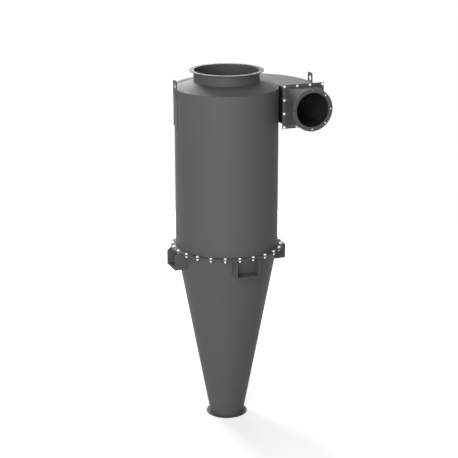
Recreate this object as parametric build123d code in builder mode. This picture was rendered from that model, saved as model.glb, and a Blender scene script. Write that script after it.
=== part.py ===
from build123d import *
import os

# A sheet-metal cyclone separator with a tangential inlet and a scroll head. Millimetres.
# +Z is up, and the inlet faces -Y on the +X side. The origin is on the cyclone's axis, in the
# plane of the support brackets' undersides.

# Sheet, flanges and bolt holes. The holes of 12 take M10 bolts, and the main joint's holes M12.
shell_thickness = 3
flange_thickness = 5
flange_bolt_edge = 15
bolt_hole_diameter = 12

# Barrel and its roof
barrel_diameter = 800
barrel_height = 1255
roof_rise = 45
roof_width = 147

# Clean air outlet and vortex finder
outlet_collar_height = 88
outlet_flange_width = 32
outlet_bolt_count = 16
finder_below_duct = 60

# Inlet duct and scroll
duct_size = 290
duct_length = 210
scroll_tip_length = 50

# Square frames between the duct and the transition
frame_bar = 25
frame_bolts_per_side = 4

# Square to round transition and its round flange
transition_length = 170
transition_corner_radius = 3
inlet_bore = 264
inlet_flange_width = 33
inlet_bolt_count = 8
round_end_flat = 0.2

# Joint between barrel and cone
main_flange_width = 40
main_bolt_count = 24
main_bolt_hole_diameter = 14

# Cone and discharge
cone_height = 1428
discharge_bore = 260
discharge_flange_width = 31
discharge_bolt_edge = 14
discharge_bolt_count = 8

# Support brackets
bracket_height = 135
bracket_width = 190
bracket_plate = 8
bracket_reach = 64
bracket_chamfer = 25
support_hole_edge = 44
support_hole_diameter = 18

# Lifting lugs
lug_width = 80
lug_height = 120
lug_rise = 70
lug_plate = 5
lug_corner_radius = 15
lug_hole_diameter = 45
lug_hole_drop = 45
left_lug_setback = 38
right_lug_setback = -15

# Radii that follow
barrel_radius = barrel_diameter / 2
barrel_inner_radius = barrel_radius - shell_thickness
outlet_outer_radius = barrel_radius - roof_width
outlet_radius = outlet_outer_radius - shell_thickness
outlet_flange_radius = outlet_outer_radius + outlet_flange_width
outlet_bolt_radius = outlet_flange_radius - flange_bolt_edge
inlet_radius = inlet_bore / 2
inlet_flange_radius = inlet_radius + inlet_flange_width
inlet_bolt_radius = inlet_flange_radius - flange_bolt_edge
discharge_outer_radius = discharge_bore / 2 + shell_thickness
discharge_flange_radius = discharge_outer_radius + discharge_flange_width
discharge_bolt_radius = discharge_flange_radius - discharge_bolt_edge
main_flange_radius = barrel_radius + main_flange_width
main_bolt_radius = main_flange_radius - flange_bolt_edge
scroll_radius = barrel_radius + duct_size / 2
scroll_centre = duct_size / 2
bolt_hole_radius = bolt_hole_diameter / 2
main_bolt_hole_radius = main_bolt_hole_diameter / 2

# Levels that follow, from the brackets' undersides up
joint_level = bracket_height + flange_thickness
rim_level = joint_level + barrel_height
duct_level = rim_level - duct_size
duct_floor_top = duct_level + shell_thickness
duct_roof_bottom = rim_level - shell_thickness
duct_wall_height = duct_roof_bottom - duct_floor_top
duct_centre_level = rim_level - duct_size / 2
roof_top_level = rim_level + roof_rise
outlet_level = roof_top_level + outlet_collar_height
finder_level = duct_level - finder_below_duct
discharge_level = joint_level - cone_height

# Places of the inlet that follow
duct_centre = barrel_radius + duct_size / 2
duct_outer_side = barrel_radius + duct_size
duct_opening = duct_size - 2 * shell_thickness
frame_size = duct_size + 2 * frame_bar
frame_bolt_pitch = (frame_size - frame_bar) / (frame_bolts_per_side - 1)
frame_joint = duct_length + flange_thickness
transition_start = frame_joint + flange_thickness
inlet_flange_back = transition_start + transition_length

# Slopes of the roof and of the cone, as drop and as growth for each millimetre
roof_slope = roof_rise / (barrel_radius - outlet_outer_radius)
cone_slope = (barrel_radius - discharge_outer_radius) / cone_height
cone_flange_bottom_radius = barrel_radius - flange_thickness * cone_slope
discharge_flange_top_radius = discharge_outer_radius + flange_thickness * cone_slope

bracket_end = barrel_radius + bracket_reach
support_bolt_radius = bracket_end - support_hole_edge
step_between_main_bolts = 360 / main_bolt_count

os.makedirs("parts", exist_ok=True)


def save(piece, label):
    piece.label = label
    export_step(piece, f"parts/{label}.step")


# The outlet ring sits on the collar's top edge.
with BuildPart() as outlet_flange:
    with BuildSketch(Plane.XY.offset(outlet_level - flange_thickness)):
        Circle(outlet_flange_radius)
        Circle(outlet_radius, mode=Mode.SUBTRACT)
        with PolarLocations(outlet_bolt_radius, outlet_bolt_count):
            Circle(bolt_hole_radius, mode=Mode.SUBTRACT)
    extrude(amount=flange_thickness)
save(outlet_flange.part, "outlet_flange")

# One tube is the collar over the roof and the vortex finder inside the barrel.
with BuildPart() as outlet_tube:
    with BuildSketch(Plane.XY.offset(finder_level)):
        Circle(outlet_outer_radius)
        Circle(outlet_radius, mode=Mode.SUBTRACT)
    extrude(amount=outlet_level - flange_thickness - finder_level)
save(outlet_tube.part, "outlet_tube")

# The roof falls from the collar to the barrel's rim.
with BuildPart() as roof_cone:
    with BuildSketch(Plane.XZ):
        with BuildLine():
            Polyline(
                (outlet_outer_radius, roof_top_level),
                (barrel_radius, rim_level),
                (barrel_radius, duct_roof_bottom),
                (outlet_outer_radius, roof_top_level - shell_thickness),
                close=True,
            )
        make_face()
    revolve(axis=Axis.Z)
save(roof_cone.part, "roof_cone")

# Beside the scroll, the front half of the barrel stands up to the underside of the roof.
with BuildPart() as barrel_head:
    with BuildSketch(Plane.XZ):
        with BuildLine():
            Polyline(
                (barrel_inner_radius, duct_floor_top),
                (barrel_radius, duct_floor_top),
                (barrel_radius, duct_roof_bottom),
                (barrel_inner_radius, duct_roof_bottom + shell_thickness * roof_slope),
                close=True,
            )
        make_face()
    revolve(axis=Axis.Z)
    split(bisect_by=Plane.XZ, keep=Keep.TOP)
save(barrel_head.part, "barrel_head")

# The full tube reaches from the main joint to the scroll's floor.
with BuildPart() as barrel_shell:
    with BuildSketch(Plane.XY.offset(joint_level)):
        Circle(barrel_radius)
        Circle(barrel_inner_radius, mode=Mode.SUBTRACT)
    extrude(amount=duct_floor_top - joint_level)
save(barrel_shell.part, "barrel_shell")

# Roof and floor of the scroll share one crescent outline, with a straight lead over the duct.
# The crescent's thin tip on the left is ground off.
for label, level in (("scroll_roof", duct_roof_bottom), ("scroll_floor", duct_level)):
    with BuildPart() as crescent:
        with BuildSketch(Plane.XY.offset(level)):
            with Locations((scroll_centre, 0)):
                Circle(scroll_radius)
                Rectangle(2 * scroll_radius, scroll_radius, align=(Align.CENTER, Align.MAX), mode=Mode.SUBTRACT)
            with Locations((-barrel_radius, 0)):
                Rectangle(barrel_radius, scroll_tip_length, align=Align.MIN, mode=Mode.SUBTRACT)
            with Locations((duct_centre, 0)):
                Rectangle(duct_size, duct_length, align=(Align.CENTER, Align.MAX))
            Circle(barrel_radius, mode=Mode.SUBTRACT)
        extrude(amount=shell_thickness)
    save(crescent.part, label)

# The scroll's outer wall is half a circle and runs tangentially into the barrel on the left.
with BuildPart() as scroll_wall:
    with BuildSketch(Plane.XY.offset(duct_floor_top)):
        with Locations((scroll_centre, 0)):
            Circle(scroll_radius)
            Circle(scroll_radius - shell_thickness, mode=Mode.SUBTRACT)
            Rectangle(2 * scroll_radius, scroll_radius, align=(Align.CENTER, Align.MAX), mode=Mode.SUBTRACT)
    extrude(amount=duct_wall_height)
save(scroll_wall.part, "scroll_wall")

# The duct's side walls stand between its floor and its roof.
wall_places = (("duct_inner_wall", barrel_radius), ("duct_outer_wall", duct_outer_side - shell_thickness))
for label, near_side in wall_places:
    with BuildPart() as duct_wall:
        with BuildSketch(Plane.XY.offset(duct_floor_top)):
            with Locations((near_side, 0)):
                Rectangle(shell_thickness, duct_length, align=(Align.MIN, Align.MAX))
        extrude(amount=duct_wall_height)
    save(duct_wall.part, label)

# Two square frames are bolted together, one on the duct and one on the transition.
for label, back in (("duct_flange", duct_length), ("transition_flange", frame_joint)):
    with BuildPart() as frame:
        with BuildSketch(Plane.XZ.offset(back)):
            with Locations((duct_centre, duct_centre_level)):
                Rectangle(frame_size, frame_size)
                Rectangle(duct_opening, duct_opening, mode=Mode.SUBTRACT)
                with GridLocations(
                    frame_bolt_pitch, frame_bolt_pitch, frame_bolts_per_side, frame_bolts_per_side
                ):
                    Circle(bolt_hole_radius, mode=Mode.SUBTRACT)
        extrude(amount=flange_thickness)
    save(frame.part, label)

# The transition's four flat triangles and four cone corners join the square frame to the round
# flange. Its round end keeps a short flat at each quarter, where the triangles come to a point.
with BuildPart() as inlet_transition:
    for square_side, round_side, mode in (
        (duct_size, inlet_bore + 2 * shell_thickness, Mode.ADD),
        (duct_opening, inlet_bore, Mode.SUBTRACT),
    ):
        with BuildSketch(Plane.XZ.offset(transition_start)) as square_end:
            with Locations((duct_centre, duct_centre_level)):
                RectangleRounded(square_side, square_side, transition_corner_radius)
        with BuildSketch(Plane.XZ.offset(inlet_flange_back)) as round_end:
            with Locations((duct_centre, duct_centre_level)):
                RectangleRounded(round_side, round_side, (round_side - round_end_flat) / 2)
        loft(sections=[square_end.sketch, round_end.sketch], ruled=True, mode=mode)
save(inlet_transition.part, "inlet_transition")

with BuildPart() as inlet_flange:
    with BuildSketch(Plane.XZ.offset(inlet_flange_back)):
        with Locations((duct_centre, duct_centre_level)):
            Circle(inlet_flange_radius)
            Circle(inlet_radius, mode=Mode.SUBTRACT)
            with PolarLocations(inlet_bolt_radius, inlet_bolt_count):
                Circle(bolt_hole_radius, mode=Mode.SUBTRACT)
    extrude(amount=flange_thickness)
save(inlet_flange.part, "inlet_flange")

# The barrel's ring and the cone's ring meet at the joint level. The front axis passes midway
# between two bolts.
with BuildPart() as barrel_flange:
    with BuildSketch(Plane.XY.offset(joint_level)):
        Circle(main_flange_radius)
        Circle(barrel_radius, mode=Mode.SUBTRACT)
        with PolarLocations(main_bolt_radius, main_bolt_count, start_angle=step_between_main_bolts / 2):
            Circle(main_bolt_hole_radius, mode=Mode.SUBTRACT)
    extrude(amount=flange_thickness)
save(barrel_flange.part, "barrel_flange")

with BuildPart() as cone_flange:
    with BuildSketch(Plane.XZ):
        with BuildLine():
            Polyline(
                (barrel_radius, joint_level),
                (main_flange_radius, joint_level),
                (main_flange_radius, bracket_height),
                (cone_flange_bottom_radius, bracket_height),
                close=True,
            )
        make_face()
    revolve(axis=Axis.Z)
    with Locations(Plane.XY.offset(joint_level)):
        with PolarLocations(main_bolt_radius, main_bolt_count, start_angle=step_between_main_bolts / 2):
            Hole(main_bolt_hole_radius, depth=flange_thickness)
save(cone_flange.part, "cone_flange")

with BuildPart() as cone_shell:
    with BuildSketch(Plane.XZ):
        with BuildLine():
            Polyline(
                (barrel_inner_radius, joint_level),
                (barrel_radius, joint_level),
                (discharge_outer_radius, discharge_level),
                (discharge_outer_radius - shell_thickness, discharge_level),
                close=True,
            )
        make_face()
    revolve(axis=Axis.Z)
save(cone_shell.part, "cone_shell")

with BuildPart() as discharge_flange:
    with BuildSketch(Plane.XZ):
        with BuildLine():
            Polyline(
                (discharge_outer_radius, discharge_level),
                (discharge_flange_radius, discharge_level),
                (discharge_flange_radius, discharge_level + flange_thickness),
                (discharge_flange_top_radius, discharge_level + flange_thickness),
                close=True,
            )
        make_face()
    revolve(axis=Axis.Z)
    with Locations(Plane.XY.offset(discharge_level + flange_thickness)):
        with PolarLocations(discharge_bolt_radius, discharge_bolt_count):
            Hole(bolt_hole_radius, depth=flange_thickness)
save(discharge_flange.part, "discharge_flange")

# The cone's outside from the brackets' undersides to the joint, which the brackets are cut to
with BuildSketch(Plane.XZ) as cone_section:
    with BuildLine():
        Polyline(
            (0, 0),
            (barrel_radius - joint_level * cone_slope, 0),
            (barrel_radius, joint_level),
            (0, joint_level),
            close=True,
        )
    make_face()

# Each bracket hangs under the cone's ring: two cheeks with a chamfered outer corner, and a base
# plate between them. Their inner edges follow the cone. Left and right are as seen facing it.
bracket_angles = {"right": 0, "back": 90, "left": 180, "front": 270}
for side, angle in bracket_angles.items():
    outward = Vector(1, 0, 0).rotate(Axis.Z, angle)
    sideways = outward.cross(Vector(0, 0, 1))
    upright = Plane(origin=(0, 0, 0), x_dir=outward, z_dir=sideways)
    cheek_starts = {"left": bracket_width / 2 - bracket_plate, "right": -bracket_width / 2}
    for hand, start in cheek_starts.items():
        with BuildPart() as cheek:
            with BuildSketch(upright.offset(start)):
                with BuildLine():
                    Polyline(
                        (0, 0),
                        (bracket_end, 0),
                        (bracket_end, bracket_height - bracket_chamfer),
                        (bracket_end - bracket_chamfer, bracket_height),
                        (0, bracket_height),
                        close=True,
                    )
                make_face()
            extrude(amount=bracket_plate)
            revolve(cone_section.sketch, axis=Axis.Z, mode=Mode.SUBTRACT)
        save(cheek.part, f"{side}_bracket_{hand}_cheek")
    with BuildPart() as base:
        with BuildSketch(Plane(origin=(0, 0, 0), x_dir=outward, z_dir=(0, 0, 1))):
            Rectangle(bracket_end, bracket_width - 2 * bracket_plate, align=(Align.MIN, Align.CENTER))
            with Locations((support_bolt_radius, 0)):
                Circle(support_hole_diameter / 2, mode=Mode.SUBTRACT)
        extrude(amount=bracket_plate)
        revolve(cone_section.sketch, axis=Axis.Z, mode=Mode.SUBTRACT)
    save(base.part, f"{side}_bracket_base")

# The lifting lugs stand upright on the barrel's left side and on the duct's outer wall.
lug_top_level = rim_level + lug_rise
for side, face, setback in (
    ("left", -barrel_radius - lug_plate, left_lug_setback),
    ("right", duct_outer_side, right_lug_setback),
):
    with BuildPart() as lug:
        with BuildSketch(Plane.YZ.offset(face)):
            with Locations((setback, lug_top_level - lug_height / 2)):
                RectangleRounded(lug_width, lug_height, lug_corner_radius)
            with Locations((setback, lug_top_level - lug_hole_drop)):
                Circle(lug_hole_diameter / 2, mode=Mode.SUBTRACT)
        extrude(amount=lug_plate)
    save(lug.part, f"lifting_lug_{side}")
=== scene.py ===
# A sheet-metal cyclone separator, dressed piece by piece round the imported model. Metres, +Z up,
# and the cyclone's axis is the Z axis.
import bpy
import random
from math import cos, pi, radians, sin, sqrt, tan
from types import SimpleNamespace
from mathutils import Matrix, Vector


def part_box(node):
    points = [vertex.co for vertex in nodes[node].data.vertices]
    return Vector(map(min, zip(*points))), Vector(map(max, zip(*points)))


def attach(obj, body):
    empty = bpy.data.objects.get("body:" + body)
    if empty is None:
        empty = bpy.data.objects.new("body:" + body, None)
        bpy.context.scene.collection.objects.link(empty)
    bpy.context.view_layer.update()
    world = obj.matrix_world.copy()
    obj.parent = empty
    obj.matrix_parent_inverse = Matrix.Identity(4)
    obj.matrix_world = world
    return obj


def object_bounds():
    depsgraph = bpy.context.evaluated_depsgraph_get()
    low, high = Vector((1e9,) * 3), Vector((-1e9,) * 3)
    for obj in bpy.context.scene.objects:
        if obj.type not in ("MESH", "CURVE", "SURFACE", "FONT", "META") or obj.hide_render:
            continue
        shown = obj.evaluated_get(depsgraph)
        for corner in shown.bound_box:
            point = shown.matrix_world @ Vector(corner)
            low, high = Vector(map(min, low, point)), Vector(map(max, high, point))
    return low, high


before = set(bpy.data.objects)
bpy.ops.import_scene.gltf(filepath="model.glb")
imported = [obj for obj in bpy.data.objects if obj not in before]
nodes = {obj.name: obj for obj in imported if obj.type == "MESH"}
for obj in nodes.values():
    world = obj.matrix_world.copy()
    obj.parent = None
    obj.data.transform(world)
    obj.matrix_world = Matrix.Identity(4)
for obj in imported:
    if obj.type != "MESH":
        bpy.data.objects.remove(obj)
cad_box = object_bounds()

# The picture is taken from in front of the machine, a little to its left and from above, with
# a long lens. The camera stands where the ellipses of the flanges and the bolts put it.
degrees_down = 16.788
degrees_right = 21.199
bpy.ops.object.camera_add(
    location=(-3.7172, -9.6355, 3.3764),
    rotation=(radians(90 - degrees_down), 0, radians(-degrees_right)),
)
camera = bpy.context.object
camera.name = "camera"
camera.data.lens = 107.65
camera.data.sensor_width = 36
camera.data.clip_end = 200
bpy.context.scene.camera = camera
bpy.context.scene.view_settings.view_transform = "Standard"

# The studio is a white room. Its pale floor lies under the discharge flange, fades into the white
# and keeps only the machine's shadow. Large soft boxes stand in front on the left, behind and
# overhead, at a plain level.
white = (1.0, 1.0, 1.0)
warm_white = (1.0, 0.985, 0.95)


def seen_directly(tree):
    """1 for what the eye, a polished face or glass sees, and 0 for the light that falls on things."""
    rays = tree.nodes.new("ShaderNodeLightPath")
    total = rays.outputs["Is Camera Ray"]
    for kind in ("Is Glossy Ray", "Is Transmission Ray"):
        either = tree.nodes.new("ShaderNodeMath")
        either.operation = "MAXIMUM"
        tree.links.new(total, either.inputs[0])
        tree.links.new(rays.outputs[kind], either.inputs[1])
        total = either.outputs[0]
    return total


world = bpy.data.worlds.new("studio")
bpy.context.scene.world = world
world.use_nodes = True
tree = world.node_tree
tree.nodes.clear()
room_light = tree.nodes.new("ShaderNodeBackground")
room_light.inputs["Color"].default_value = (*white, 1)
room_light.inputs["Strength"].default_value = 0.03
white_room = tree.nodes.new("ShaderNodeBackground")
white_room.inputs["Color"].default_value = (*white, 1)
white_room.inputs["Strength"].default_value = 1.0
room = tree.nodes.new("ShaderNodeMixShader")
tree.links.new(seen_directly(tree), room.inputs["Fac"])
tree.links.new(room_light.outputs[0], room.inputs[1])
tree.links.new(white_room.outputs[0], room.inputs[2])
sky = tree.nodes.new("ShaderNodeOutputWorld")
tree.links.new(room.outputs[0], sky.inputs["Surface"])

floor_gap = 0.0005
floor_radius = 6.0
floor_grey = 0.4
shadow_radius = 0.6
white_radius = 3.5
shadow_glow = 0.66
bpy.ops.mesh.primitive_circle_add(
    vertices=128, radius=floor_radius, fill_type="NGON", location=(0, 0, cad_box[0][2] - floor_gap)
)
floor = bpy.context.object
floor.name = "studio_floor"
bpy.ops.object.transform_apply()
floor_white = bpy.data.materials.new("floor_white")
floor_white.use_nodes = True
tree = floor_white.node_tree
tree.nodes.clear()
matt = tree.nodes.new("ShaderNodeBsdfDiffuse")
matt.inputs["Color"].default_value = (floor_grey, floor_grey, floor_grey, 1)
place = tree.nodes.new("ShaderNodeTexCoord")
along_floor = tree.nodes.new("ShaderNodeVectorMath")
along_floor.operation = "MULTIPLY"
along_floor.inputs[1].default_value = (1, 1, 0)
tree.links.new(place.outputs["Object"], along_floor.inputs[0])
from_middle = tree.nodes.new("ShaderNodeVectorMath")
from_middle.operation = "LENGTH"
tree.links.new(along_floor.outputs[0], from_middle.inputs[0])
fade = tree.nodes.new("ShaderNodeMapRange")
fade.interpolation_type = "SMOOTHSTEP"
fade.inputs["From Min"].default_value = shadow_radius
fade.inputs["From Max"].default_value = white_radius
fade.inputs["To Min"].default_value = shadow_glow
fade.inputs["To Max"].default_value = 1.0
tree.links.new(from_middle.outputs["Value"], fade.inputs["Value"])
lift = tree.nodes.new("ShaderNodeMath")
lift.operation = "MULTIPLY"
tree.links.new(seen_directly(tree), lift.inputs[0])
tree.links.new(fade.outputs["Result"], lift.inputs[1])
glow = tree.nodes.new("ShaderNodeEmission")
glow.inputs["Color"].default_value = (*white, 1)
tree.links.new(lift.outputs[0], glow.inputs["Strength"])
both = tree.nodes.new("ShaderNodeAddShader")
tree.links.new(matt.outputs[0], both.inputs[0])
tree.links.new(glow.outputs[0], both.inputs[1])
surface = tree.nodes.new("ShaderNodeOutputMaterial")
tree.links.new(both.outputs[0], surface.inputs["Surface"])
floor.data.materials.append(floor_white)


def soft_light(name, place, aim, side, power, colour):
    """A square soft box at place, turned to aim."""
    bpy.ops.object.light_add(type="AREA", location=place)
    lamp = bpy.context.object
    lamp.name = name
    lamp.rotation_euler = (Vector(aim) - Vector(place)).to_track_quat("-Z", "Y").to_euler()
    lamp.data.shape = "SQUARE"
    lamp.data.size = side
    lamp.data.energy = power
    lamp.data.color = colour


soft_light("key_light", (-5.9, -6.8, 3.5), (0.1, 0, 0.2), 5.0, 400, white)
soft_light("high_light", (-5.2, -6.0, 6.5), (0.1, 0, 0.2), 3.0, 135, white)
soft_light("front_light", (-3.0, -8.0, 1.9), (0.1, 0, 0.0), 3.0, 290, white)
soft_light("side_light", (-8.0, -1.0, 4.0), (0, 0, 0.8), 2.5, 50, white)
soft_light("rear_light", (-1.6, 7.3, 5.8), (0, 0, 1.2), 2.5, 700, warm_white)
soft_light("low_rear_light", (2.0, 7.8, 4.2), (0, 0, 1.2), 2.5, 240, warm_white)
soft_light("top_light", (0, 0, 7.0), (0, 0, 0.5), 4.0, 75, warm_white)

# The barrel is one rolled tube of 3 mm sheet, closed by a straight seam at the back, with a ring
# welded round its lower end. As all of the machine it is coated in satin anthracite powder, whose
# shade drifts a little at random. Some pieces get the coat lighter or darker than the rest: painted
# light and painted shade. Every weld is a rippled bead laid by hand and coated too, in a darker coat:
# painted shade of the corners that most beads fill.
anthracite = (0.0845, 0.0847, 0.0850)
shade_drift = (0.93, 1.07)
# The share of its colour that a face in painted shade keeps.
shade_share = 0.35
even = (1, 1, 1)
drawn_out = (1, 1, 0.35)


def satin_coat(name, lightness, roughness, cloud_scale, stretch):
    """Anthracite powder coat with a faint orange peel, its colour times lightness, which paints some
    pieces lighter or darker as painted light and shade. stretch squeezes the drift of the shade along
    X, Y and Z. Faces marked in the shade attribute are darkened: painted shade in the machine's
    hollows and gaps."""
    shade = [lightness * c for c in anthracite]
    coat = bpy.data.materials.new(name)
    coat.use_nodes = True
    tree = coat.node_tree
    body = tree.nodes["Principled BSDF"]
    body.inputs["Specular IOR Level"].default_value = 0.2
    place = tree.nodes.new("ShaderNodeTexCoord")
    squeeze = tree.nodes.new("ShaderNodeMapping")
    squeeze.inputs["Scale"].default_value = stretch
    tree.links.new(place.outputs["Object"], squeeze.inputs["Vector"])
    drift = tree.nodes.new("ShaderNodeTexNoise")
    drift.inputs["Scale"].default_value = cloud_scale
    drift.inputs["Detail"].default_value = 3
    tree.links.new(squeeze.outputs[0], drift.inputs["Vector"])
    tone = tree.nodes.new("ShaderNodeMix")
    tone.data_type = "RGBA"
    tone.inputs["A"].default_value = (*(shade_drift[0] * c for c in shade), 1)
    tone.inputs["B"].default_value = (*(shade_drift[1] * c for c in shade), 1)
    tree.links.new(drift.outputs["Fac"], tone.inputs["Factor"])
    painted_shade = tree.nodes.new("ShaderNodeAttribute")
    painted_shade.attribute_name = "painted_shade"
    shade_mix = tree.nodes.new("ShaderNodeMix")
    shade_mix.data_type = "RGBA"
    shade_mix.inputs["B"].default_value = (*(shade_share * c for c in shade), 1)
    tree.links.new(painted_shade.outputs["Fac"], shade_mix.inputs["Factor"])
    tree.links.new(tone.outputs["Result"], shade_mix.inputs["A"])
    tree.links.new(shade_mix.outputs["Result"], body.inputs["Base Color"])
    gloss = tree.nodes.new("ShaderNodeMapRange")
    gloss.inputs["To Min"].default_value = roughness[0]
    gloss.inputs["To Max"].default_value = roughness[1]
    tree.links.new(drift.outputs["Fac"], gloss.inputs["Value"])
    tree.links.new(gloss.outputs["Result"], body.inputs["Roughness"])
    peel = tree.nodes.new("ShaderNodeTexNoise")
    peel.inputs["Scale"].default_value = 320
    peel.inputs["Detail"].default_value = 1
    tree.links.new(place.outputs["Object"], peel.inputs["Vector"])
    skin = tree.nodes.new("ShaderNodeBump")
    skin.inputs["Strength"].default_value = 0.06
    skin.inputs["Distance"].default_value = 0.0003
    tree.links.new(peel.outputs["Fac"], skin.inputs["Height"])
    tree.links.new(skin.outputs["Normal"], body.inputs["Normal"])
    return coat


def coated(coat, *names):
    """Gives the named pieces this coat."""
    for name in names:
        nodes[name].data.materials.clear()
        nodes[name].data.materials.append(coat)


# The rolled shells get the coat lighter: painted light.
rolled_sheet = satin_coat("rolled_sheet_coat", 1.12, (0.55, 0.65), 2.2, drawn_out)
cut_plate = satin_coat("cut_plate_coat", 1.0, (0.52, 0.62), 9.0, even)
# The beads get the coat darker: painted shade in the corners they fill.
coated_weld = satin_coat("coated_weld_coat", 0.6, (0.55, 0.65), 40.0, even)
coated(rolled_sheet, "barrel_shell", "barrel_head")
coated(cut_plate, "barrel_flange")
weld_ripple = 0.0045
bead_sides = 8
most_rings = 256
most_cuts = 100
swell = 0.0005
heavy_bead = 0.0030
seam_bead = 0.0024
seam_sunk = 0.0010


def opened(piece, kind, wanted):
    """Opens a piece for editing with only its wanted vertices, edges or faces selected."""
    bpy.ops.object.mode_set(mode="EDIT")
    bpy.ops.mesh.select_mode(type=kind)
    bpy.ops.mesh.select_all(action="DESELECT")
    bpy.ops.object.mode_set(mode="OBJECT")
    mesh = piece.data
    for part in {"VERT": mesh.vertices, "EDGE": mesh.edges, "FACE": mesh.polygons}[kind]:
        part.select = wanted(part)
    bpy.ops.object.mode_set(mode="EDIT")


def rippled(bead, ring_of):
    """Swells the rings of a bead whose number is odd, as the ripples of a hand-laid weld."""
    opened(bead, "VERT", lambda vertex: ring_of(vertex) % 2 == 1)
    bpy.ops.transform.shrink_fatten(value=swell)
    bpy.ops.object.mode_set(mode="OBJECT")
    return bead


def round_weld(radius, centre, size, facing=(0, 0, 1), cuts=()):
    """A bead on a circle. Each cut is a point and a direction, and takes off what lies that way.
    A torus has 256 rings at most, so the ripples of a large circle are longer."""
    bpy.ops.object.select_all(action="DESELECT")
    rings = 2 * round(2 * pi * radius / weld_ripple)
    bpy.ops.mesh.primitive_torus_add(
        major_segments=min(rings, most_rings),
        minor_segments=bead_sides,
        major_radius=radius,
        minor_radius=size,
        location=centre,
        rotation=Vector(facing).to_track_quat("Z", "Y").to_euler(),
    )
    bead = rippled(bpy.context.object, lambda vertex: vertex.index // bead_sides)
    bpy.ops.object.transform_apply(location=True, rotation=True, scale=True)
    for point, direction in cuts:
        bpy.ops.object.mode_set(mode="EDIT")
        bpy.ops.mesh.select_all(action="SELECT")
        bpy.ops.mesh.bisect(plane_co=point, plane_no=direction, use_fill=True, clear_outer=True)
        bpy.ops.object.mode_set(mode="OBJECT")
    return bead


def straight_weld(start, end, size):
    """A bead from start to end. One subdivision makes 100 cuts at most, so a long bead has fewer
    rings than ripples, and swells unevenly."""
    bpy.ops.object.select_all(action="DESELECT")
    way = Vector(end) - Vector(start)
    bpy.ops.mesh.primitive_cylinder_add(
        vertices=bead_sides,
        radius=size,
        depth=way.length,
        location=(Vector(start) + Vector(end)) / 2,
        rotation=way.to_track_quat("Z", "Y").to_euler(),
    )
    bead = bpy.context.object

    def runs_along(edge):
        first, last = (bead.data.vertices[i].co.z for i in edge.vertices)
        return abs(first - last) > way.length / 2

    opened(bead, "EDGE", runs_along)
    rings = 2 * max(2, round(way.length / weld_ripple))
    bpy.ops.mesh.subdivide(number_cuts=min(rings - 1, most_cuts))
    bpy.ops.object.mode_set(mode="OBJECT")
    rippled(bead, lambda vertex: round((vertex.co.z / way.length + 0.5) * rings))
    bpy.ops.object.transform_apply(location=True, rotation=True, scale=True)
    return bead


def seam_weld(degrees, ends, size):
    """A bead along the seam of a rolled sheet. Each end is a radius and a level."""
    turn = radians(degrees)
    points = []
    for radius, level in ends:
        out = radius - seam_sunk
        points.append((out * cos(turn), out * sin(turn), level))
    return straight_weld(*points, size)


def as_one(parts):
    """Joins the parts to one object."""
    bpy.ops.object.select_all(action="DESELECT")
    for part in parts:
        part.select_set(True)
    bpy.context.view_layer.objects.active = parts[0]
    bpy.ops.object.join()
    return bpy.context.object


def joined(name, parts):
    """Joins the parts to one piece with its place in its mesh, which rides on the machine."""
    piece = as_one(parts)
    piece.name = name
    bpy.ops.object.transform_apply(location=True, rotation=True, scale=True)
    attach(piece, "root")
    return piece


def welds(name, beads):
    """One piece of coated beads, a little uneven as the hand leaves them."""
    piece = joined(name, beads)
    unevenness = bpy.data.textures.new(name + "_unevenness", "CLOUDS")
    unevenness.noise_scale = 0.012
    hand = piece.modifiers.new("hand", "DISPLACE")
    hand.texture = unevenness
    hand.strength = 0.0009
    bpy.ops.object.modifier_apply(modifier="hand")
    bpy.ops.object.shade_smooth()
    piece.data.materials.clear()
    piece.data.materials.append(coated_weld)
    return piece


sheet = 0.003
barrel_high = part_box("barrel_shell")[1]
barrel_radius = barrel_high.x
barrel_ring_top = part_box("barrel_flange")[1].z
barrel_seam = ((barrel_radius, barrel_ring_top), (barrel_radius, barrel_high.z - sheet))
welds("barrel_welds", [
    round_weld(barrel_radius, (0, 0, barrel_ring_top), heavy_bead),
    seam_weld(97, barrel_seam, seam_bead),
])

# The cone is rolled in one piece too, with its seam a little to the other side. The upper ring
# bolts to the barrel, and the ring at the bottom takes the rotary valve or the dust bin.
coated(rolled_sheet, "cone_shell")
coated(cut_plate, "cone_flange", "discharge_flange")
plate_bead = 0.0026
discharge_radius = 0.133
cone_ring_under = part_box("cone_flange")[0].z
cone_low, cone_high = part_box("cone_shell")
discharge_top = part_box("discharge_flange")[1].z
cone_slope = (cone_high.x - discharge_radius) / (cone_high.z - cone_low.z)


def cone_radius(level):
    """The cone's outside radius at a level."""
    return discharge_radius + (level - cone_low.z) * cone_slope


cone_seam = [(cone_radius(level), level) for level in (cone_ring_under, discharge_top)]
welds("cone_welds", [
    round_weld(cone_radius(cone_ring_under), (0, 0, cone_ring_under), heavy_bead),
    round_weld(cone_radius(discharge_top), (0, 0, discharge_top), plate_bead),
    seam_weld(80, cone_seam, seam_bead),
])

# The roof is a low cone of sheet, and the outlet tube goes down through it as the vortex finder.
# The tube is welded into the roof, and its ring is welded on under the top edge.
# The roof and the outlet tube get the coat a little darker: painted shade.
top_coat = satin_coat("top_coat", 0.95, (0.55, 0.65), 2.2, drawn_out)
coated(top_coat, "roof_cone", "outlet_tube")
coated(cut_plate, "outlet_flange")
collar_bead = 0.0032
light_bead = 0.0022
roof_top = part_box("roof_cone")[1].z
outlet_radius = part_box("outlet_tube")[1].x
outlet_ring_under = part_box("outlet_flange")[0].z
collar_seam = ((outlet_radius, roof_top), (outlet_radius, outlet_ring_under))
welds("outlet_welds", [
    round_weld(outlet_radius, (0, 0, roof_top), collar_bead),
    round_weld(outlet_radius, (0, 0, outlet_ring_under), plate_bead),
    seam_weld(101, collar_seam, light_bead),
])
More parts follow.
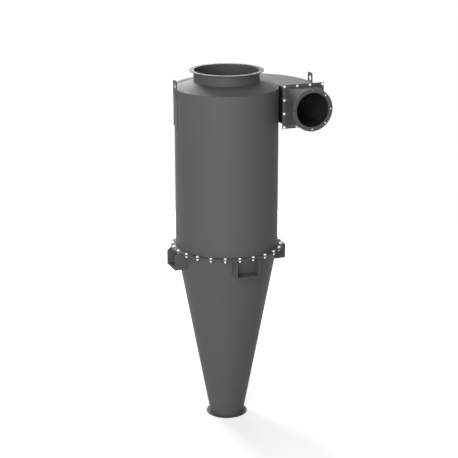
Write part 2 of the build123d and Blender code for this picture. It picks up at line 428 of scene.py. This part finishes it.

# The scroll wraps the back of the barrel's head: a bent wall between a flat roof and a flat floor,
# which run on as the inlet duct. All edges are welded outside, roof and floor to the barrel. The
# roof's coat is painted lighter, a painted highlight of the light from behind. The inside faces and
# the duct's inner wall are painted darker, as painted shade.
flat_sheet = satin_coat("flat_sheet_coat", 1.0, (0.55, 0.65), 3.0, even)
# The scroll roof gets the coat much lighter: painted light, as the flat top catches the light from
# behind.
bright_roof_coat = satin_coat("painted_light_roof_coat", 1.4, (0.60, 0.70), 3.0, even)
coated(flat_sheet, "scroll_wall", "scroll_floor", "duct_outer_wall", "duct_inner_wall")
coated(bright_roof_coat, "scroll_roof")
scroll_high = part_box("scroll_wall")[1]
scroll_radius = scroll_high.y
scroll_centre = scroll_high.x - scroll_radius
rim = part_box("scroll_roof")[1].z
duct_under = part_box("scroll_floor")[0].z
duct_middle = (rim + duct_under) / 2
scroll_middle = Vector((scroll_centre, 0, duct_middle))


def mark_shade(name, middle=None):
    """Marks the faces that look towards middle, or else all of them, for painted shade."""
    mesh = nodes[name].data
    painted_shade = mesh.attributes.new("painted_shade", "FLOAT", "FACE")
    for face, mark in zip(mesh.polygons, painted_shade.data):
        mark.value = float(middle is None or (face.center - middle).dot(face.normal) < 0)


# The inside faces of the scroll and the duct get painted shade. So does the whole inner wall, whose
# outside stands in the narrow dark gap by the barrel.
for name in ("scroll_wall", "scroll_floor", "scroll_roof", "duct_outer_wall"):
    mark_shade(name, scroll_middle)
mark_shade("duct_inner_wall")
duct_low, duct_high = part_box("duct_outer_wall")
duct_side = duct_high.x
duct_inner_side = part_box("duct_inner_wall")[0].x
duct_frame_front, duct_frame_back = (corner.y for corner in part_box("duct_flange"))
flush = 0.0008
corner_sunk = 0.0015
edge_bead = 0.0018
scroll_end_bead = 0.0020
scroll_end = -0.002
inner_wall_end = -0.048
front_off = ((0, 0, 0), (0, -1, 0))
upright_beads = (
    (barrel_radius - corner_sunk, inner_wall_end, heavy_bead),
    (-barrel_radius, scroll_end, scroll_end_bead),
    (duct_side - flush, 0, light_bead),
)
beads = [
    round_weld(barrel_radius, (0, 0, rim), edge_bead, cuts=[front_off]),
    round_weld(barrel_radius, (0, 0, duct_under), heavy_bead, cuts=[front_off]),
]
for x, y, size in upright_beads:
    beads.append(straight_weld((x, y, duct_low.z), (x, y, duct_high.z), size))
for level in (duct_low.z, duct_high.z):
    beads.append(
        round_weld(scroll_radius - flush, (scroll_centre, 0, level), edge_bead, cuts=[front_off])
    )
    for x, y in ((duct_side - flush, 0), (duct_inner_side + flush, inner_wall_end)):
        beads.append(straight_weld((x, y, level), (x, duct_frame_back, level), light_bead))
welds("scroll_welds", beads)

# The transition is folded from four flat triangles and four bent corners. The square frame welded
# round its wide end is bolted to the duct's own, and the round pipe flange is welded round its narrow
# end. Its coat is a little darker all over. Its inside and the frames' inner edges are darker still,
# painted shade as in the duct.
# The transition gets the coat darker: painted shade.
inlet_coat = satin_coat("inlet_coat", 0.86, (0.44, 0.54), 3.0, even)
coated(inlet_coat, "inlet_transition")
coated(cut_plate, "duct_flange", "transition_flange", "inlet_flange")
# The frames' inner edges and the transition's inside get painted shade too.
frame_middle = Vector(((duct_inner_side + duct_side) / 2, duct_frame_front, duct_middle))
for name in ("duct_flange", "transition_flange"):
    mark_shade(name, frame_middle)
frame_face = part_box("transition_flange")[0].y
inlet_low, inlet_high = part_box("inlet_flange")
inlet_x = (inlet_low.x + inlet_high.x) / 2
inlet_z = (inlet_low.z + inlet_high.z) / 2
mark_shade("inlet_transition", Vector((inlet_x, (frame_face + inlet_low.y) / 2, inlet_z)))
pipe_radius = 0.135
beads = [round_weld(pipe_radius, (inlet_x, inlet_high.y, inlet_z), plate_bead, facing=(0, 1, 0))]
corners = [
    (duct_inner_side, duct_under), (duct_side, duct_under), (duct_side, rim), (duct_inner_side, rim)
]
for y in (duct_frame_back, frame_face):
    for (x1, z1), (x2, z2) in zip(corners, corners[1:] + corners[:1]):
        beads.append(straight_weld((x1, y, z1), (x2, y, z2), plate_bead))
welds("inlet_welds", beads)

# Four brackets carry the machine: two laser-cut cheeks and a base with one anchor hole, welded to
# the cone and up against its ring, with a bead on both sides of each cheek. All are 8 mm plate.
coated(cut_plate, *(name for name in nodes if "bracket" in name))
base_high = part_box("right_bracket_base")[1]
bracket_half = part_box("right_bracket_right_cheek")[1].y
ring_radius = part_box("cone_flange")[1].x
half_pocket = base_high.y
foot_gap = 0.003
end_gap = 0.002
under_ring_bead = 0.0028
clear_of_axis = 0.1


def beside_cone(y, level):
    """The point on the cone at this level and this far beside the bracket's middle."""
    out = cone_radius(level)
    return (sqrt(out * out - y * y), y, level)


def copies_at(master, places):
    """Copies of master, each with a mesh of its own, that take its place."""
    copies = []
    for place in places:
        copy = master.copy()
        copy.data = master.data.copy()
        bpy.context.collection.objects.link(copy)
        copy.matrix_world = place
        copies.append(copy)
    bpy.data.objects.remove(master)
    return copies


beads = []
for y in (-bracket_half, -half_pocket, half_pocket, bracket_half):
    outside = abs(y) > half_pocket
    bottom = foot_gap if outside else base_high.z
    under_ring = beside_cone(y, cone_ring_under)
    ring_edge = (sqrt(ring_radius * ring_radius - y * y), y, cone_ring_under)
    beads.append(straight_weld(beside_cone(y, bottom), under_ring, heavy_bead))
    beads.append(straight_weld(under_ring, ring_edge, under_ring_bead))
    if not outside:
        base_end = (base_high.x - end_gap, y, base_high.z)
        beads.append(straight_weld(beside_cone(y, base_high.z), base_end, heavy_bead))
pocket_sides = [
    ((0, half_pocket, 0), (0, 1, 0)),
    ((0, -half_pocket, 0), (0, -1, 0)),
    ((clear_of_axis, 0, 0), (-1, 0, 0)),
]
base_bead = round_weld(
    cone_radius(base_high.z), (0, 0, base_high.z), heavy_bead, cuts=pocket_sides
)
quarter_turns = [Matrix.Rotation(radians(90 * quarter), 4, "Z") for quarter in range(4)]
welds("bracket_welds", copies_at(as_one(beads + [base_bead]), quarter_turns))

# Two lifting lugs of 5 mm plate stand upright, one on the barrel and one on the duct. They are
# welded along their lower edge and up both sides to the rim. Behind the left one's far edge the
# wall already falls away, and a thicker bead fills the gap.
coated(cut_plate, "lifting_lug_left", "lifting_lug_right")
beads = []
for lug, wall, far_gap, far_bead in (
    ("lifting_lug_left", -barrel_radius, 0.0028, 0.0042),
    ("lifting_lug_right", duct_side, -0.0003, 0.0024),
):
    lug_low, lug_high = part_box(lug)
    near = (wall, lug_low.y, lug_low.z)
    far = (wall + far_gap, lug_high.y, lug_low.z)
    beads += [
        straight_weld(near, far, heavy_bead),
        straight_weld(near, (near[0], near[1], rim), edge_bead),
        straight_weld(far, (far[0], far[1], rim), far_bead),
    ]
welds("lug_welds", beads)

# The main joint is closed with M12 bolts from above, with a large washer under the head, and the
# two square frames with M10 bolts, with a washer at both ends. All are steel with bright zinc.
m12 = SimpleNamespace(
    thread_radius=0.006, thread_pitch=0.00175, length=0.030, flats=0.018,
    head_height=0.0075, nut_height=0.010, washer_radius=0.012, washer_sheet=0.0025,
)
m10 = SimpleNamespace(
    thread_radius=0.005, thread_pitch=0.0015, length=0.025, flats=0.016,
    head_height=0.0064, nut_height=0.008, washer_radius=0.010, washer_sheet=0.002,
)
thread_turns = 10
thread_core = 0.88
thread_point = 0.8
turned_face = 0.475
turned_slope = radians(30)
blank_spare = 1.002
washer_hole = 1.05
washer_edge = 0.0003
square_on = 0.9
zinc = bpy.data.materials.new("bright_zinc")
zinc.use_nodes = True
tree = zinc.node_tree
plating = tree.nodes["Principled BSDF"]
plating.inputs["Metallic"].default_value = 0.6
place = tree.nodes.new("ShaderNodeTexCoord")
spangle = tree.nodes.new("ShaderNodeTexNoise")
spangle.inputs["Scale"].default_value = 900
spangle.inputs["Detail"].default_value = 2
tree.links.new(place.outputs["Object"], spangle.inputs["Vector"])
tone = tree.nodes.new("ShaderNodeMix")
tone.data_type = "RGBA"
tone.inputs["A"].default_value = (0.95, 0.955, 0.96, 1)
tone.inputs["B"].default_value = (*white, 1)
tree.links.new(spangle.outputs["Fac"], tone.inputs["Factor"])
tree.links.new(tone.outputs["Result"], plating.inputs["Base Color"])
gloss = tree.nodes.new("ShaderNodeMapRange")
gloss.inputs["To Min"].default_value = 0.28
gloss.inputs["To Max"].default_value = 0.42
tree.links.new(spangle.outputs["Fac"], gloss.inputs["Value"])
tree.links.new(gloss.outputs["Result"], plating.inputs["Roughness"])


def turned_hexagon(size, height, base, both_ends):
    """A hexagon standing on base, with the corners of its top, or of both ends, turned off."""
    corner = size.flats / sqrt(3)
    face = turned_face * size.flats
    fall = (corner - face) * tan(turned_slope)
    bpy.ops.object.select_all(action="DESELECT")
    bpy.ops.mesh.primitive_cylinder_add(
        vertices=6, radius=corner, depth=height, location=(0, 0, base + height / 2)
    )
    hexagon = bpy.context.object
    bpy.ops.object.transform_apply()
    straight = height - fall * (2 if both_ends else 1)
    start = base + (fall if both_ends else 0)
    bpy.ops.mesh.primitive_cylinder_add(
        vertices=48, radius=corner * blank_spare, depth=straight, location=(0, 0, start + straight / 2)
    )
    blank = bpy.context.object
    bpy.ops.object.transform_apply()
    for upwards in ((1, -1) if both_ends else (1,)):
        opened(blank, "FACE", lambda polygon: polygon.normal.z * upwards > square_on)
        bpy.ops.mesh.extrude_region_move(TRANSFORM_OT_translate={"value": (0, 0, upwards * fall)})
        bpy.ops.transform.resize(value=(face / corner, face / corner, 1), center_override=(0, 0, 0))
        bpy.ops.object.mode_set(mode="OBJECT")
    bpy.context.view_layer.objects.active = hexagon
    lathe = hexagon.modifiers.new("lathe", "BOOLEAN")
    lathe.operation = "INTERSECT"
    lathe.object = blank
    bpy.ops.object.modifier_apply(modifier="lathe")
    bpy.data.objects.remove(blank)
    return hexagon


def pressed_washer(size):
    """A washer lying on the level 0, with its hole."""
    bpy.ops.object.select_all(action="DESELECT")
    bpy.ops.mesh.primitive_cylinder_add(
        vertices=32,
        radius=size.washer_radius,
        depth=size.washer_sheet,
        location=(0, 0, size.washer_sheet / 2),
    )
    washer = bpy.context.object
    bpy.ops.object.transform_apply()
    opened(washer, "FACE", lambda polygon: abs(polygon.normal.z) > square_on)
    bpy.ops.mesh.inset(thickness=size.washer_radius - washer_hole * size.thread_radius)
    bpy.ops.mesh.bridge_edge_loops()
    bpy.ops.object.mode_set(mode="OBJECT")
    edge = washer.modifiers.new("edge", "BEVEL")
    edge.width = washer_edge
    edge.segments = 2
    bpy.ops.object.modifier_apply(modifier="edge")
    return washer


def hexagon_bolt(size):
    """A bolt standing head up, its washer's seat on the level 0 and its thread below."""
    head = turned_hexagon(size, size.head_height, size.washer_sheet, False)
    plain = size.length - size.thread_pitch * (thread_turns + 1)
    bpy.ops.mesh.primitive_cylinder_add(
        vertices=16,
        radius=size.thread_radius,
        depth=plain,
        location=(0, 0, size.washer_sheet - plain / 2),
    )
    shank = bpy.context.object
    bpy.ops.object.transform_apply()
    opened(shank, "FACE", lambda polygon: polygon.normal.z < -square_on)
    half_turn = {"value": (0, 0, -size.thread_pitch / 2)}
    for turn in range(thread_turns):
        for width in (thread_core, 1 / thread_core):
            bpy.ops.mesh.extrude_region_move(TRANSFORM_OT_translate=half_turn)
            bpy.ops.transform.resize(value=(width, width, 1), center_override=(0, 0, 0))
    bpy.ops.mesh.extrude_region_move(TRANSFORM_OT_translate={"value": (0, 0, -size.thread_pitch)})
    bpy.ops.transform.resize(value=(thread_point, thread_point, 1), center_override=(0, 0, 0))
    bpy.ops.object.mode_set(mode="OBJECT")
    return as_one([head, shank])


def set_out(name, master, places):
    """Zinc-plated copies of master at each place, as one piece."""
    piece = joined(name, copies_at(master, places))
    bpy.ops.object.shade_smooth_by_angle(angle=radians(35))
    piece.data.materials.append(zinc)


turning = random.Random(7)


def turned():
    """A fastener is left at whatever angle it came tight."""
    return Matrix.Rotation(turning.uniform(0, pi), 4, "Z")


bolt_edge = 0.015
ring_bolts = 24
bolt_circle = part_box("barrel_flange")[1].x - bolt_edge
over = Matrix.Rotation(radians(180), 4, "X")
heads, nuts = [], []
for step in range(ring_bolts):
    angle = 2 * pi * (step + 0.5) / ring_bolts
    x, y = bolt_circle * cos(angle), bolt_circle * sin(angle)
    heads.append(Matrix.Translation((x, y, barrel_ring_top)) @ turned())
    nuts.append(Matrix.Translation((x, y, cone_ring_under)) @ over @ turned())
set_out("main_joint_bolts", hexagon_bolt(m12), heads)
set_out("main_joint_nuts", turned_hexagon(m12, m12.nut_height, 0, True), nuts)
set_out("main_joint_washers", pressed_washer(m12), heads)

frame_bar = 0.025
bolts_per_side = 4
frame_low, frame_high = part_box("transition_flange")
bolt_pitch = (frame_high.x - frame_low.x - frame_bar) / (bolts_per_side - 1)
to_front = Matrix.Rotation(radians(90), 4, "X")
to_back = Matrix.Rotation(radians(-90), 4, "X")
heads, nuts = [], []
for column in range(bolts_per_side):
    for row in range(bolts_per_side):
        if column in (0, bolts_per_side - 1) or row in (0, bolts_per_side - 1):
            x = frame_low.x + frame_bar / 2 + column * bolt_pitch
            z = frame_low.z + frame_bar / 2 + row * bolt_pitch
            heads.append(Matrix.Translation((x, frame_low.y, z)) @ to_front @ turned())
            nuts.append(Matrix.Translation((x, duct_frame_back, z)) @ to_back @ turned())
set_out("frame_bolts", hexagon_bolt(m10), heads)
set_out("frame_nuts", turned_hexagon(m10, m10.nut_height, m10.washer_sheet, True), nuts)
set_out("frame_washers", pressed_washer(m10), heads + nuts)
